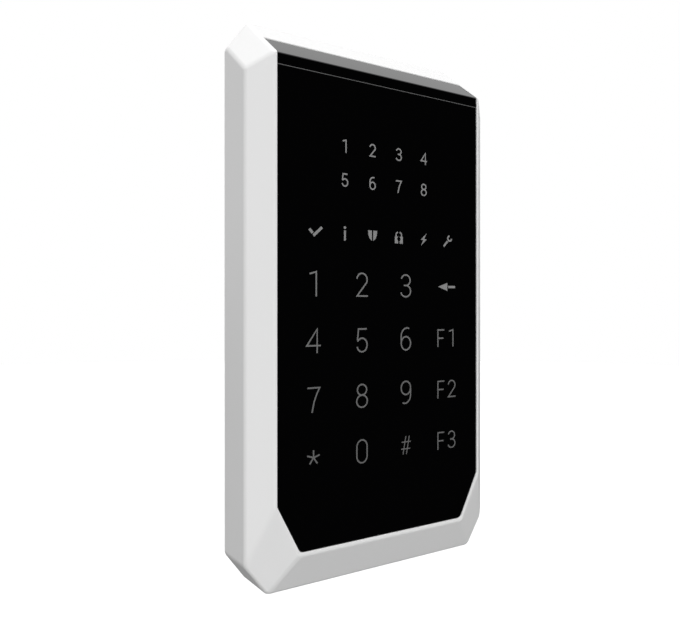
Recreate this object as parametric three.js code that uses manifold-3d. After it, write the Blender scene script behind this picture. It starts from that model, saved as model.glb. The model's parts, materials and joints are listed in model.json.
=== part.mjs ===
// Alarm keypad panel: a wall plate, and a front unit that hangs on it and swings up to open.
// Millimetres. +Z is up, the front faces -Y and +X is to the right. The origin is the centre of
// the wall plate's back face, so the wall is the plane y = 0 and depths into the room are negative.
import * as THREE from "three";
import { ConvexGeometry } from "three/addons/geometries/ConvexGeometry.js";
import { mergeVertices } from "three/addons/utils/BufferGeometryUtils.js";
import Module from "manifold-3d";

// ---------------------------------------------------------------- driving dimensions

const WIDTH = 81; // the housing's outline, seen from the front
const HEIGHT = 150;
const CORNER = { x: 6, z: 8 }; // how much each corner of the outline is cut back
const RIM_FRONT = -18.5; // the housing's foremost flat, round the black panel
const PANEL_FRONT = -18.3;
const HOUSING_BACK = -0.5; // leaves a shadow gap to the wall
const WALL = 2; // the housing's wall thickness
const CLEAR = 0.3; // room between pieces that are fitted together

const PANEL = { halfWidth: 33.75, top: 62.2, bottom: -64.05, cutX: 6.5, cutZ: 12.6, thick: 2 };
const PANEL_ROUNDING = { bottom: 1.9, knee: 1.5 }; // radii of the panel's two lower corners a side
const RIM = { side: 0.9, bottom: 1.1 }; // the flat strip round the panel
const SIDE_EDGE = -13.25; // depth of the edge between a side wall and its bevel
const BOTTOM_EDGE = -13.85; // the same at the bottom
const SIDE_BEVEL_TOP = 58.5; // where a side bevel ends and the top corner facet starts
const TOP_SLOPE = 0.783; // rise per millimetre of depth of the slanted top
const TOP_SKIN = 3.2; // thickness of the slanted top
const BACK_CHAMFER = 1.4; // on the top back edge, so that it clears the wall as the unit swings

const SEAM = 59.3; // height of the joint between the front panel and its top cap
const CAP_BACK = -10.7; // the top cap reaches this far back along the slanted top
const CAP_THICK = 1.1;
const LEDGE = { front: -16, back: -14.2, width: 3 }; // what the panel is glued to

const LAMP_PITCH = 9;
const ZONE_LAMPS = { x: -0.2, top: 41.3, columns: 4, rows: 2 };
const STATUS_LAMPS = { x: -0.2, top: 18.05, columns: 6, rows: 1 };
const KEY_LAMPS = { x: 0.1, top: -3, columns: 2, rows: 2 };
const KEY_LAMP_PITCH = 28;
const KEY_FIELD = { halfWidth: 29.2, bottom: -47.6, top: 12 }; // the touch keys, lit from its edges

const BOARD = { front: -12.85, back: -11.25, halfWidth: 35.3, top: 57.5, bottom: -66 };
const PLATE = { front: -2.5, top: 69.9, inset: 2.6, shoulderX: 31, shoulderZ: 62.5 };
const PIVOT = { y: -1.4, z: 72.6, radius: 0.8 }; // the bar that the front unit hangs by
const HOOK = { x: 20, width: 10 };
const LOCK_Y = -6; // axis of the retaining screw
const NUT = { radius: 3.1, bottom: -68.6, top: -66.2 };
const FIXING_SLOTS = { x: 25, upper: 48, lower: -54, radius: 1.95, length: 9 };
const CABLE_WINDOW = { halfWidth: 14, bottom: 12, top: 32 };

// Parts on the back of the board.
const TAMPER = { x: -24, z: -24 };
const TERMINALS = { x: 0, z: 1, pitch: 5, count: 4 };
const SOUNDER = { x: -19, z: -52, radius: 6, height: 6.5 };
const CAPACITOR = { x: 24, z: 22, radius: 3.15, height: 5.8, base: 3.3 };
const CRYSTAL = { x: -16, z: -14, reach: 3.4, radius: 2.2, height: 3.2 };
const HEADER = { x: 22, z: -60, halfWidth: 2.5, halfHeight: 3.8, pitch: 2.54, height: 6 };
const SQUARE_CHIP = { thick: 1.5, pitch: 0.8, allRound: true };
const CHIPS = {
  microcontroller: { x: 2, z: -26, width: 10, height: 10, legs: 12, ...SQUARE_CHIP },
  touch_controller: { x: 20, z: -26, width: 7, height: 7, legs: 8, ...SQUARE_CHIP },
  voltage_regulator: { x: 24, z: 8, width: 3.6, height: 6.5, thick: 1.7, legs: 3, pitch: 2.3 },
  bus_transceiver: { x: 16, z: -10, width: 4, height: 5, thick: 1.6, legs: 4, pitch: 1.27 },
};

// ---------------------------------------------------------------- shapes and solids

const wasm = await Module();
wasm.setup();

// A closed geometry as a solid that can be joined and cut.
function solid(geometry) {
  const bare = geometry.clone();
  bare.deleteAttribute("normal");
  bare.deleteAttribute("uv");
  const merged = mergeVertices(bare, 1e-4);
  return new wasm.Manifold(
    new wasm.Mesh({
      numProp: 3,
      vertProperties: new Float32Array(merged.attributes.position.array),
      triVerts: new Uint32Array(merged.index.array),
    }),
  );
}

function geometryOf(body) {
  const mesh = body.getMesh();
  const positions = new Float32Array(mesh.numVert * 3);
  for (let i = 0; i < mesh.numVert; i++) {
    const start = i * mesh.numProp;
    positions.set(mesh.vertProperties.subarray(start, start + 3), i * 3);
  }
  const geometry = new THREE.BufferGeometry();
  geometry.setAttribute("position", new THREE.BufferAttribute(positions, 3));
  geometry.setIndex(new THREE.BufferAttribute(new Uint32Array(mesh.triVerts), 1));
  geometry.computeVertexNormals();
  return geometry;
}

const joined = (...geometries) => geometries.map(solid).reduce((a, b) => a.add(b));
const cut = (body, ...tools) => tools.map(solid).reduce((a, b) => a.subtract(b), body);

function outline(points) {
  return new THREE.Shape(points.map(([u, v]) => new THREE.Vector2(u, v)));
}

// An outline whose corners are rounded, each by its own radius.
function roundedOutline(points, radii) {
  const corners = points.map(([u, v]) => new THREE.Vector2(u, v));
  const shape = new THREE.Shape();
  corners.forEach((corner, i) => {
    const back = corners.at(i - 1).clone().sub(corner).normalize();
    const on = corners[(i + 1) % corners.length].clone().sub(corner).normalize();
    const reach = radii[i] / Math.tan(back.angleTo(on) / 2);
    const start = corner.clone().addScaledVector(back, reach);
    const end = corner.clone().addScaledVector(on, reach);
    if (i === 0) {
      shape.moveTo(start.x, start.y);
    } else {
      shape.lineTo(start.x, start.y);
    }
    if (reach > 0) {
      shape.quadraticCurveTo(corner.x, corner.y, end.x, end.y);
    }
  });
  return shape;
}

// An outline in x and z, given depth from front to back.
function slab(shape, front, back) {
  const geometry = new THREE.ExtrudeGeometry(shape, { depth: back - front, bevelEnabled: false });
  return geometry.rotateX(Math.PI / 2).translate(0, back, 0);
}

// A sheet given depth from front to back, with holes cut through it.
function pierced(shape, holes, front, back) {
  return cut(solid(slab(shape, front, back)), ...holes.map((hole) => slab(hole, front - 1, back + 1)));
}

// An outline in y and z, carried along x from left to right.
function beam(shape, left, right) {
  const geometry = new THREE.ExtrudeGeometry(shape, { depth: right - left, bevelEnabled: false });
  const axes = new THREE.Matrix4().makeBasis(
    new THREE.Vector3(0, 1, 0),
    new THREE.Vector3(0, 0, 1),
    new THREE.Vector3(1, 0, 0),
  );
  return geometry.applyMatrix4(axes).translate(left, 0, 0);
}

function block(x0, x1, y0, y1, z0, z1) {
  const geometry = new THREE.BoxGeometry(x1 - x0, y1 - y0, z1 - z0);
  return geometry.translate((x0 + x1) / 2, (y0 + y1) / 2, (z0 + z1) / 2);
}

// A round rod that runs front to back.
function rod(x, z, radius, front, back, sides = 24) {
  const geometry = new THREE.CylinderGeometry(radius, radius, back - front, sides);
  return geometry.translate(x, (front + back) / 2, z);
}

// A round rod that stands upright.
function post(x, y, radius, bottom, top, sides = 24) {
  const geometry = new THREE.CylinderGeometry(radius, radius, top - bottom, sides);
  return geometry.rotateX(Math.PI / 2).translate(x, y, (bottom + top) / 2);
}

function rectangle(left, right, bottom, top) {
  return [
    [left, bottom],
    [right, bottom],
    [right, top],
    [left, top],
  ];
}

// A slot with round ends, upright, as an outline in x and z.
function slotOutline(x, z, radius, length) {
  const reach = length / 2 - radius;
  const shape = new THREE.Shape();
  shape.absarc(x, z + reach, radius, 0, Math.PI, false);
  shape.absarc(x, z - reach, radius, Math.PI, 2 * Math.PI, false);
  return shape;
}

// The places of a grid of keys or lamps, row by row from the top left.
function gridPlaces({ x, top, columns, rows }, pitch) {
  const places = [];
  for (let row = 0; row < rows; row++) {
    for (let column = 0; column < columns; column++) {
      places.push([x + (column - (columns - 1) / 2) * pitch, top - row * pitch]);
    }
  }
  return places;
}

// The housing's outline moved inwards by inset, as an eight-sided figure.
function housingOutline(inset) {
  const a = WIDTH / 2 - inset;
  const b = HEIGHT / 2 - inset;
  const slant = inset * Math.hypot(CORNER.x, CORNER.z);
  const edge = CORNER.z * (WIDTH / 2) + CORNER.x * (HEIGHT / 2 - CORNER.z) - slant;
  const x = (edge - CORNER.x * b) / CORNER.z;
  const z = (edge - CORNER.z * a) / CORNER.x;
  return [
    [-x, -b],
    [x, -b],
    [a, -z],
    [a, z],
    [x, b],
    [-x, b],
    [-a, z],
    [-a, -z],
  ];
}

// The panel's outline, grown on its sides and bottom, up to a given height.
function panelOutline(sideGrow, bottomGrow, top) {
  const a = PANEL.halfWidth + sideGrow;
  const bottom = PANEL.bottom - bottomGrow;
  const kneeX = PANEL.halfWidth - PANEL.cutX + sideGrow / 2;
  const kneeZ = PANEL.bottom + PANEL.cutZ - bottomGrow / 2;
  return [
    [-kneeX, bottom],
    [kneeX, bottom],
    [a, kneeZ],
    [a, top],
    [-a, top],
    [-a, kneeZ],
  ];
}

// The same outline with the panel's lower corners rounded.
function panelShape(sideGrow, bottomGrow, top) {
  const { bottom, knee } = PANEL_ROUNDING;
  return roundedOutline(panelOutline(sideGrow, bottomGrow, top), [bottom, bottom, knee, 0, 0, knee]);
}

// Height of the slanted top's outer surface at a depth, less a distance measured square to it.
const panelTopAt = (y) => PANEL.top + TOP_SLOPE * (y - PANEL_FRONT);
const square = Math.hypot(1, TOP_SLOPE);
const proud = PANEL_FRONT - RIM_FRONT; // how far the housing stands out round the panel
const topAt = (y, below = 0) => panelTopAt(y) + (proud - below) * square;

// ---------------------------------------------------------------- materials

function material(color, roughness, metalness = 0) {
  return new THREE.MeshStandardMaterial({ color, roughness, metalness });
}

const whitePlastic = material(0xe9eaeb, 0.45);
const blackGloss = material(0x050506, 0.06);
const blackPlastic = material(0x1a1a1c, 0.5);
const milkyFilm = material(0xd8dade, 0.5);
const clearGuide = material(0xdfe6ea, 0.1);
const foamTape = material(0x2a2a2c, 0.9);
const circuitGreen = material(0x0f4a2c, 0.45);
const chipBlack = material(0x17181a, 0.55);
const terminalGreen = material(0x2f7d45, 0.45);
const steel = material(0xb8bbbf, 0.35, 1);
const brass = material(0xc39a4c, 0.35, 1);
const lampWhite = material(0xf2efe2, 0.4);

const keypad = new THREE.Group();
const wallPlate = new THREE.Group();
const frontUnit = new THREE.Group();
keypad.add(wallPlate, frontUnit);

function add(group, name, shape, look) {
  const geometry = shape.isBufferGeometry ? shape : geometryOf(shape);
  const mesh = new THREE.Mesh(geometry, look);
  mesh.name = name;
  group.add(mesh);
}

// ---------------------------------------------------------------- front housing

// The outer form: flat facets between the wall outline, the bevel edges and the rim.
function housingForm() {
  const a = WIDTH / 2;
  const b = HEIGHT / 2;
  const rim = panelOutline(RIM.side, RIM.bottom, topAt(RIM_FRONT));
  const ridge = RIM_FRONT + (b - topAt(RIM_FRONT)) / TOP_SLOPE;
  const bevelTop = new THREE.Vector3(-a, SIDE_EDGE, SIDE_BEVEL_TOP);
  const rimCorner = new THREE.Vector3(rim[4][0], RIM_FRONT, rim[4][1]);
  const ridgeEnd = new THREE.Vector3(-(a - CORNER.x), ridge, b);
  const facet = new THREE.Plane().setFromCoplanarPoints(bevelTop, rimCorner, ridgeEnd);
  const { x, y, z } = facet.normal;
  const facetDepth = -(facet.constant - x * a + z * (b - CORNER.z)) / y; // on the wall's corner edge

  const points = rim.map(([u, v]) => new THREE.Vector3(u, RIM_FRONT, v));
  for (const side of [-1, 1]) {
    points.push(
      new THREE.Vector3(side * (a - CORNER.x), HOUSING_BACK, -b),
      new THREE.Vector3(side * a, HOUSING_BACK, -(b - CORNER.z)),
      new THREE.Vector3(side * a, HOUSING_BACK, b - CORNER.z),
      new THREE.Vector3(side * (a - CORNER.x), HOUSING_BACK, b),
      new THREE.Vector3(side * (a - CORNER.x), BOTTOM_EDGE, -b),
      new THREE.Vector3(side * a, SIDE_EDGE, -(b - CORNER.z)),
      new THREE.Vector3(side * a, SIDE_EDGE, SIDE_BEVEL_TOP),
      new THREE.Vector3(side * a, facetDepth, b - CORNER.z),
      new THREE.Vector3(side * (a - CORNER.x), ridge, b),
    );
  }
  return new ConvexGeometry(points);
}

// The room inside: the same facets, a wall's thickness in, open to the back.
function housingRoom() {
  const sides = housingOutline(WALL);
  const footX = sides[1][0];
  const open = HOUSING_BACK + 5;
  const halfWidth = WIDTH / 2 - WALL;
  const floor = -(HEIGHT / 2 - WALL);
  const roof = HEIGHT / 2 - WALL - CLEAR - 1;
  const ceiling = (y) => topAt(y, TOP_SKIN);
  const points = sides.map(([x, z]) => new THREE.Vector3(x, open, Math.min(z, roof)));

  const front = LEDGE.back;
  const bevelBack = SIDE_EDGE + 0.9;
  const bevelInset = 2.1; // how far a side bevel leans in, down to the back of the ledge
  const bevelTop = SIDE_BEVEL_TOP - 3;
  const facetBack = { y: -3.5, z: 64.8 }; // where the top corner facet meets the side wall
  const floorBack = BOTTOM_EDGE + 1.3;
  const floorFront = -69.5; // height of the bottom bevel at the back of the ledge
  const ceilingBack = -1.3;
  for (const side of [-1, 1]) {
    points.push(
      new THREE.Vector3(side * halfWidth, bevelBack, -(HEIGHT / 2 - CORNER.z) + 1),
      new THREE.Vector3(side * halfWidth, bevelBack, bevelTop),
      new THREE.Vector3(side * halfWidth, facetBack.y, facetBack.z),
      new THREE.Vector3(side * (halfWidth - bevelInset), front, bevelTop),
      new THREE.Vector3(side * (halfWidth - bevelInset), front, PANEL.bottom + PANEL.cutZ),
      new THREE.Vector3(side * (footX - 1), floorBack, floor),
      new THREE.Vector3(side * (footX - 4), front, floorFront),
      new THREE.Vector3(side * (footX - 3), front, ceiling(front)),
      new THREE.Vector3(side * (footX - 1), ceilingBack, ceiling(ceilingBack)),
    );
  }
  return new ConvexGeometry(points);
}

function boardScrewPlaces() {
  return [
    [-33, 44],
    [33, 44],
    [-33, -42],
    [33, -42],
  ];
}

const seatGap = 0.15;
const capDepth = CAP_THICK + proud + seatGap; // of the cap's seat, below the slanted top

// The room for the panel, as deep as its ledge and up to the cap's seat.
function panelSeat() {
  const seat = slab(panelShape(seatGap, seatGap, PANEL.top + 2), RIM_FRONT - 1, LEDGE.front);
  const belowCap = beam(
    outline([
      [RIM_FRONT - 2, -HEIGHT],
      [LEDGE.back, -HEIGHT],
      [LEDGE.back, topAt(LEDGE.back, capDepth)],
      [RIM_FRONT - 2, topAt(RIM_FRONT - 2, capDepth)],
    ]),
    -WIDTH,
    WIDTH,
  );
  return solid(seat).intersect(solid(belowCap));
}

function capSeat() {
  const front = RIM_FRONT - 1;
  const back = CAP_BACK + seatGap;
  return beam(
    outline([
      [front, topAt(front, capDepth)],
      [back, topAt(back, capDepth)],
      [back, HEIGHT],
      [front, HEIGHT],
    ]),
    -PANEL.halfWidth - seatGap,
    PANEL.halfWidth + seatGap,
  );
}

const windowRim = LEDGE.width + 2; // height left above the window for the cap's seat

// The opening in the ledge, behind the panel.
function ledgeWindow() {
  const shape = panelShape(-LEDGE.width, -LEDGE.width, PANEL.top - windowRim);
  return slab(shape, LEDGE.front - 1, LEDGE.back + 1);
}

function backChamfer() {
  const top = HEIGHT / 2;
  return beam(
    outline([
      [HOUSING_BACK + 1, top - BACK_CHAMFER - 1],
      [HOUSING_BACK + 1, top + 1],
      [HOUSING_BACK - BACK_CHAMFER - 1, top + 1],
    ]),
    -WIDTH,
    WIDTH,
  );
}

// Two pockets in the thick of the top, each crossed by a bar that drops into a hook.
function withPivotBars(housing) {
  let body = housing;
  const half = HOOK.width / 2 + 0.5;
  const pocket = { bottom: 66, top: PIVOT.z + CLEAR, front: PIVOT.y - 2.3 };
  for (const side of [-1, 1]) {
    const x = side * HOOK.x;
    const bar = new THREE.CylinderGeometry(PIVOT.radius, PIVOT.radius, 2 * half + 1, 24);
    bar.rotateZ(Math.PI / 2).translate(x, PIVOT.y, PIVOT.z);
    body = cut(body, block(x - half, x + half, pocket.front, 1, pocket.bottom, pocket.top));
    body = body.add(solid(bar));
  }
  return body;
}

function withScrewBosses(housing) {
  let body = housing;
  const bossRadius = 2.6;
  const holeRadius = 1.5;
  for (const [x, z] of boardScrewPlaces()) {
    body = body.add(solid(rod(x, z, bossRadius, LEDGE.back - 0.5, BOARD.front - 0.05)));
    body = cut(body, rod(x, z, holeRadius, LEDGE.front + 0.4, BOARD.front + 1));
  }
  return body;
}

// The seat of the retaining screw in the bottom wall, open to the back.
function withLockSeat(housing) {
  const boss = { halfWidth: 6, front: -9.6, back: -3, bottom: -73.2, top: -71.2 };
  const head = { half: 3.2, top: -72.9 };
  const shankHalf = 1.7;
  const below = -HEIGHT / 2 - 1;
  const added = block(-boss.halfWidth, boss.halfWidth, boss.front, boss.back, boss.bottom, boss.top);
  return cut(
    housing.add(solid(added)),
    block(-head.half, head.half, LOCK_Y - head.half, 1, below, head.top),
    block(-shankHalf, shankHalf, LOCK_Y - shankHalf, 1, below, boss.top + 1),
  );
}

// Slots in the bottom wall, under the sounder.
function soundSlots() {
  const count = 5;
  const width = 1.4;
  const pitch = 3.2;
  return Array.from({ length: count }, (_, i) => {
    const x = SOUNDER.x - width / 2 + (i - (count - 1) / 2) * pitch;
    return block(x, x + width, -11, -5, -HEIGHT / 2 - 1, -72);
  });
}

function frontHousing() {
  let body = cut(solid(housingForm()), housingRoom(), capSeat(), ledgeWindow(), backChamfer());
  body = body.subtract(panelSeat());
  body = withPivotBars(body);
  body = withScrewBosses(body);
  body = withLockSeat(body);
  return cut(body, ...soundSlots());
}

add(frontUnit, "front_housing", frontHousing(), whitePlastic);

// ---------------------------------------------------------------- black panel and what is behind it

const seamGap = 0.06;

function frontPanel() {
  return slab(panelShape(0, 0, SEAM - seamGap), PANEL_FRONT, PANEL_FRONT + PANEL.thick);
}

// The cap folds over the top: a strip of the front face and a strip of the slanted top.
function topCap() {
  const under = (y) => panelTopAt(y) - CAP_THICK * square;
  const foldBack = PANEL_FRONT + PANEL.thick;
  const low = SEAM + seamGap;
  return beam(
    outline([
      [PANEL_FRONT, low],
      [foldBack, low],
      [foldBack, under(foldBack)],
      [CAP_BACK, under(CAP_BACK)],
      [CAP_BACK, panelTopAt(CAP_BACK)],
      [PANEL_FRONT, PANEL.top],
    ]),
    -PANEL.halfWidth,
    PANEL.halfWidth,
  );
}

function panelAdhesive() {
  const tapeTop = 58;
  const tape = panelShape(-0.4, -0.4, tapeTop);
  const opening = panelShape(-LEDGE.width, -LEDGE.width, PANEL.top - windowRim);
  return pierced(tape, [opening], LEDGE.front - 0.25, LEDGE.front - 0.05);
}

// What fits in the ledge's window, seen from the front.
function windowShape() {
  const inset = LEDGE.width + 0.4;
  return panelShape(-inset, -inset, PANEL.top - windowRim - 0.4);
}

function legendDiffuser() {
  return slab(windowShape(), LEDGE.front - 0.25, LEDGE.front - 0.1);
}

const zonePlaces = gridPlaces(ZONE_LAMPS, LAMP_PITCH);
const statusPlaces = gridPlaces(STATUS_LAMPS, LAMP_PITCH);
const keyLampPlaces = gridPlaces(KEY_LAMPS, KEY_LAMP_PITCH);

// A black frame that keeps each lamp's light to its own legend.
function lightMask() {
  const half = 3.2;
  const cells = [...zonePlaces, ...statusPlaces].map(([x, z]) =>
    outline(rectangle(x - half, x + half, z - half, z + half)),
  );
  return pierced(windowShape(), [keyField(0.4), ...cells], LEDGE.front - 0.05, BOARD.front - 0.1);
}

function keyField(grow) {
  const { halfWidth, bottom, top } = KEY_FIELD;
  return outline(rectangle(-halfWidth - grow, halfWidth + grow, bottom - grow, top + grow));
}

// A clear sheet under the touch keys, with a notch for each lamp that lights it.
function keyLightGuide() {
  const half = 2.4;
  const thick = 1.8;
  const notches = keyLampPlaces.map(([x, z]) =>
    outline(rectangle(x - half, x + half, z - half, z + half)),
  );
  return pierced(keyField(0), notches, LEDGE.front, LEDGE.front + thick);
}

function lamp(x, z) {
  const front = BOARD.front - 0.8;
  const base = block(x - 1.6, x + 1.6, BOARD.front - 0.45, BOARD.front - 0.03, z - 1.4, z + 1.4);
  return joined(base, rod(x, z, 1.1, front, BOARD.front - 0.4, 12));
}

function addLamps(name, places) {
  places.forEach(([x, z], i) => add(frontUnit, name + "_" + (i + 1), lamp(x, z), lampWhite));
}

add(frontUnit, "front_panel", frontPanel(), blackGloss);
add(frontUnit, "panel_top_cap", topCap(), blackGloss);
add(frontUnit, "panel_adhesive", panelAdhesive(), foamTape);
add(frontUnit, "legend_diffuser", legendDiffuser(), milkyFilm);
add(frontUnit, "light_mask", lightMask(), blackPlastic);
add(frontUnit, "key_light_guide", keyLightGuide(), clearGuide);
addLamps("zone_lamp", zonePlaces);
addLamps("status_lamp", statusPlaces);
addLamps("key_lamp", keyLampPlaces);

// ---------------------------------------------------------------- circuit board and its parts

const face = BOARD.back + 0.05; // what stands on the back of the board starts here

function mainBoard() {
  const cutX = 6;
  const cutZ = 12;
  const shape = outline([
    [-BOARD.halfWidth + cutX, BOARD.bottom],
    [BOARD.halfWidth - cutX, BOARD.bottom],
    [BOARD.halfWidth, BOARD.bottom + cutZ],
    [BOARD.halfWidth, BOARD.top],
    [-BOARD.halfWidth, BOARD.top],
    [-BOARD.halfWidth, BOARD.bottom + cutZ],
  ]);
  const holes = boardScrewPlaces().map(([x, z]) => slotOutline(x, z, 1.5, 3.2));
  return pierced(shape, holes, BOARD.front, BOARD.back);
}

// A self-tapping screw: pan head on the board's back, shank in the housing's boss.
function boardScrew(x, z) {
  const profile = [
    [0, -4],
    [0.8, -4],
    [1.2, -3.4],
    [1.2, 0.02],
    [2.3, 0.02],
    [2.3, 0.9],
    [1.6, 1.5],
    [0, 1.5],
  ].map(([r, y]) => new THREE.Vector2(r, y));
  const screw = new THREE.LatheGeometry(profile, 20).translate(x, face, z);
  return crossDriven(screw, x, face + 1.5, z, 0.6);
}

// Cuts a cross recess into a screw head whose top is at y = top.
function crossDriven(screw, x, top, z, depth) {
  const long = 1.1;
  const half = 0.25;
  return cut(
    solid(screw),
    block(x - long, x + long, top - depth, top + 1, z - half, z + half),
    block(x - half, x + half, top - depth, top + 1, z - long, z + long),
  );
}

// A chip with legs along its left and right edges, and if asked along the other two. Each pair of
// legs is a flat bar through the foot of the chip.
function chip({ x, z, width, height, thick, legs, pitch, allRound }) {
  const halfX = width / 2;
  const halfZ = height / 2;
  const reach = 0.9;
  const halfLeg = pitch / 4;
  const legTop = face + 0.35;
  const pieces = [block(x - halfX, x + halfX, face, face + thick, z - halfZ, z + halfZ)];
  for (let i = 0; i < legs; i++) {
    const along = (i - (legs - 1) / 2) * pitch;
    const [z0, z1] = [z + along - halfLeg, z + along + halfLeg];
    pieces.push(block(x - halfX - reach, x + halfX + reach, face, legTop, z0, z1));
    if (allRound) {
      const [x0, x1] = [x + along - halfLeg, x + along + halfLeg];
      pieces.push(block(x0, x1, face, legTop, z - halfZ - reach, z + halfZ + reach));
    }
  }
  return joined(...pieces);
}

function turned(x, z, points, sides = 32) {
  const profile = points.map(([r, y]) => new THREE.Vector2(r, y));
  return new THREE.LatheGeometry(profile, sides).translate(x, face, z);
}

function sounder() {
  const { x, z, radius, height } = SOUNDER;
  const body = turned(x, z, [
    [0, 0],
    [radius, 0],
    [radius, height - 0.4],
    [radius - 0.4, height],
    [0, height],
  ]);
  return cut(solid(body), rod(x, z, 1.2, face + height - 0.9, face + height + 1));
}

// A can with a rolled groove, on a square plastic base.
function supplyCapacitor() {
  const { x, z, radius, height, base } = CAPACITOR;
  const can = turned(x, z, [
    [0, 0.4],
    [radius - 0.25, 0.4],
    [radius, 0.7],
    [radius, 1.4],
    [radius - 0.2, 1.7],
    [radius, 2],
    [radius, height - 0.2],
    [radius - 0.25, height],
    [0, height],
  ]);
  return joined(can, block(x - base, x + base, face, face + 0.6, z - base, z + base));
}

function crystal() {
  const { x, z, reach, radius, height } = CRYSTAL;
  const shape = new THREE.Shape();
  shape.absarc(x + reach, z, radius, -Math.PI / 2, Math.PI / 2, false);
  shape.absarc(x - reach, z, radius, Math.PI / 2, (3 * Math.PI) / 2, false);
  return slab(shape, face, face + height);
}

function programmingHeader() {
  const { x, z, halfWidth, halfHeight, pitch, height } = HEADER;
  const half = 0.32; // of a pin
  const pins = gridPlaces({ x, top: z + pitch, columns: 2, rows: 3 }, pitch);
  const bar = block(x - halfWidth, x + halfWidth, face, face + 2.5, z - halfHeight, z + halfHeight);
  return joined(
    bar,
    ...pins.map(([u, v]) => block(u - half, u + half, face + 2, face + height, v - half, v + half)),
  );
}

add(frontUnit, "main_board", mainBoard(), circuitGreen);
boardScrewPlaces().forEach(([x, z], i) => {
  add(frontUnit, "board_screw_" + (i + 1), boardScrew(x, z), steel);
});
for (const [name, size] of Object.entries(CHIPS)) {
  add(frontUnit, name, chip(size), chipBlack);
}
add(frontUnit, "crystal", crystal(), steel);
add(frontUnit, "supply_capacitor", supplyCapacitor(), steel);
add(frontUnit, "sounder", sounder(), blackPlastic);
add(frontUnit, "programming_header", programmingHeader(), blackPlastic);

// ---------------------------------------------------------------- cable terminals

const terminalTop = face + 7.6; // the face that the terminal screws are driven from
const terminalXs = Array.from(
  { length: TERMINALS.count },
  (_, i) => TERMINALS.x + (i - (TERMINALS.count - 1) / 2) * TERMINALS.pitch,
);

// The block has a screw well and a wire way for each conductor; wires enter from above.
function terminalBlock() {
  const half = (TERMINALS.count * TERMINALS.pitch) / 2 + 0.4;
  const { z } = TERMINALS;
  let body = solid(
    beam(
      outline([
        [face, z - 4],
        [face, z + 4],
        [face + 5.6, z + 4],
        [terminalTop, z + 2.6],
        [terminalTop, z - 4],
      ]),
      TERMINALS.x - half,
      TERMINALS.x + half,
    ),
  );
  for (const x of terminalXs) {
    body = cut(
      body,
      rod(x, z - 0.6, 2, face + 3.2, terminalTop + 1),
      block(x - 1.6, x + 1.6, face + 0.7, face + 3.6, z - 3, z + 5),
    );
  }
  return body;
}

// A slotted screw whose tip presses the clamp plate on the wire.
function terminalScrew(x) {
  const profile = [
    [0, face + 3.5],
    [1.2, face + 3.5],
    [1.2, face + 5.6],
    [1.7, face + 5.8],
    [1.7, face + 7.1],
    [0, face + 7.1],
  ].map(([r, y]) => new THREE.Vector2(r, y));
  const z = TERMINALS.z - 0.6;
  const screw = new THREE.LatheGeometry(profile, 20).translate(x, 0, z);
  return cut(solid(screw), block(x - 3, x + 3, face + 6.3, face + 8, z - 0.3, z + 0.3));
}

// A bent strip in the wire way, under the screw.
function terminalClamp(x) {
  const { z } = TERMINALS;
  return beam(
    outline([
      [face + 2.6, z + 2.6],
      [face + 3, z + 2.6],
      [face + 3.2, z + 2.3],
      [face + 3.2, z - 2.6],
      [face + 1, z - 2.6],
      [face + 1, z - 2.2],
      [face + 2.8, z - 2.2],
      [face + 2.8, z + 2.2],
    ]),
    x - 1.3,
    x + 1.3,
  );
}

add(frontUnit, "terminal_block", terminalBlock(), terminalGreen);
terminalXs.forEach((x, i) => {
  add(frontUnit, "terminal_screw_" + (i + 1), terminalScrew(x), steel);
  add(frontUnit, "terminal_clamp_" + (i + 1), terminalClamp(x), brass);
});

// ---------------------------------------------------------------- tamper switch

const switchBack = face + 3.6;
const capFront = -1.9; // the plunger's cap, from here to the wall

function tamperSwitch() {
  const { x, z } = TAMPER;
  const body = joined(
    block(x - 4, x + 4, face, switchBack - 0.8, z - 4, z + 4),
    rod(x, z, 3.4, switchBack - 1, switchBack),
  );
  return cut(body, rod(x, z, 1.8, face + 0.5, switchBack + 1));
}

// At rest the wall holds the plunger in, with its cap flush with the wall plate's back.
function tamperPlunger() {
  const { x, z } = TAMPER;
  return joined(
    rod(x, z, 1.45, face + 0.6, capFront + 0.2),
    rod(x, z, 2.8, capFront, 0),
  );
}

// A helix of round wire between the switch and the plunger's cap.
function tamperSpring() {
  const turns = 5;
  const radius = 2.2;
  const wire = 0.22;
  const start = switchBack + wire + 0.08;
  const length = capFront - wire - 0.08 - start;
  class Helix extends THREE.Curve {
    getPoint(t, target = new THREE.Vector3()) {
      const angle = 2 * Math.PI * turns * t;
      const x = TAMPER.x + radius * Math.cos(angle);
      const z = TAMPER.z + radius * Math.sin(angle);
      return target.set(x, start + length * t, z);
    }
  }
  const section = new THREE.Shape().absarc(0, 0, wire, 0, 2 * Math.PI, false);
  return new THREE.ExtrudeGeometry(section, {
    steps: turns * 14,
    curveSegments: 3,
    extrudePath: new Helix(),
    bevelEnabled: false,
  });
}

add(frontUnit, "tamper_switch", tamperSwitch(), blackPlastic);
add(frontUnit, "tamper_plunger", tamperPlunger(), whitePlastic);
add(frontUnit, "tamper_spring", tamperSpring(), steel);

// ---------------------------------------------------------------- wall plate

const lug = { halfWidth: 5.5, front: LOCK_Y - 4.4, bottom: -70.6, top: -64.4 };

// The housing's outline, inset, with its top lower and its shoulders sloped.
function plateOutline() {
  const a = WIDTH / 2 - PLATE.inset;
  const lower = housingOutline(PLATE.inset).filter(([, z]) => z < 0);
  const { top, shoulderX, shoulderZ } = PLATE;
  const upper = [
    [a, shoulderZ],
    [shoulderX, top],
    [-shoulderX, top],
    [-a, shoulderZ],
  ];
  return [...lower.slice(0, 3), ...upper, lower[3]];
}

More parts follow.
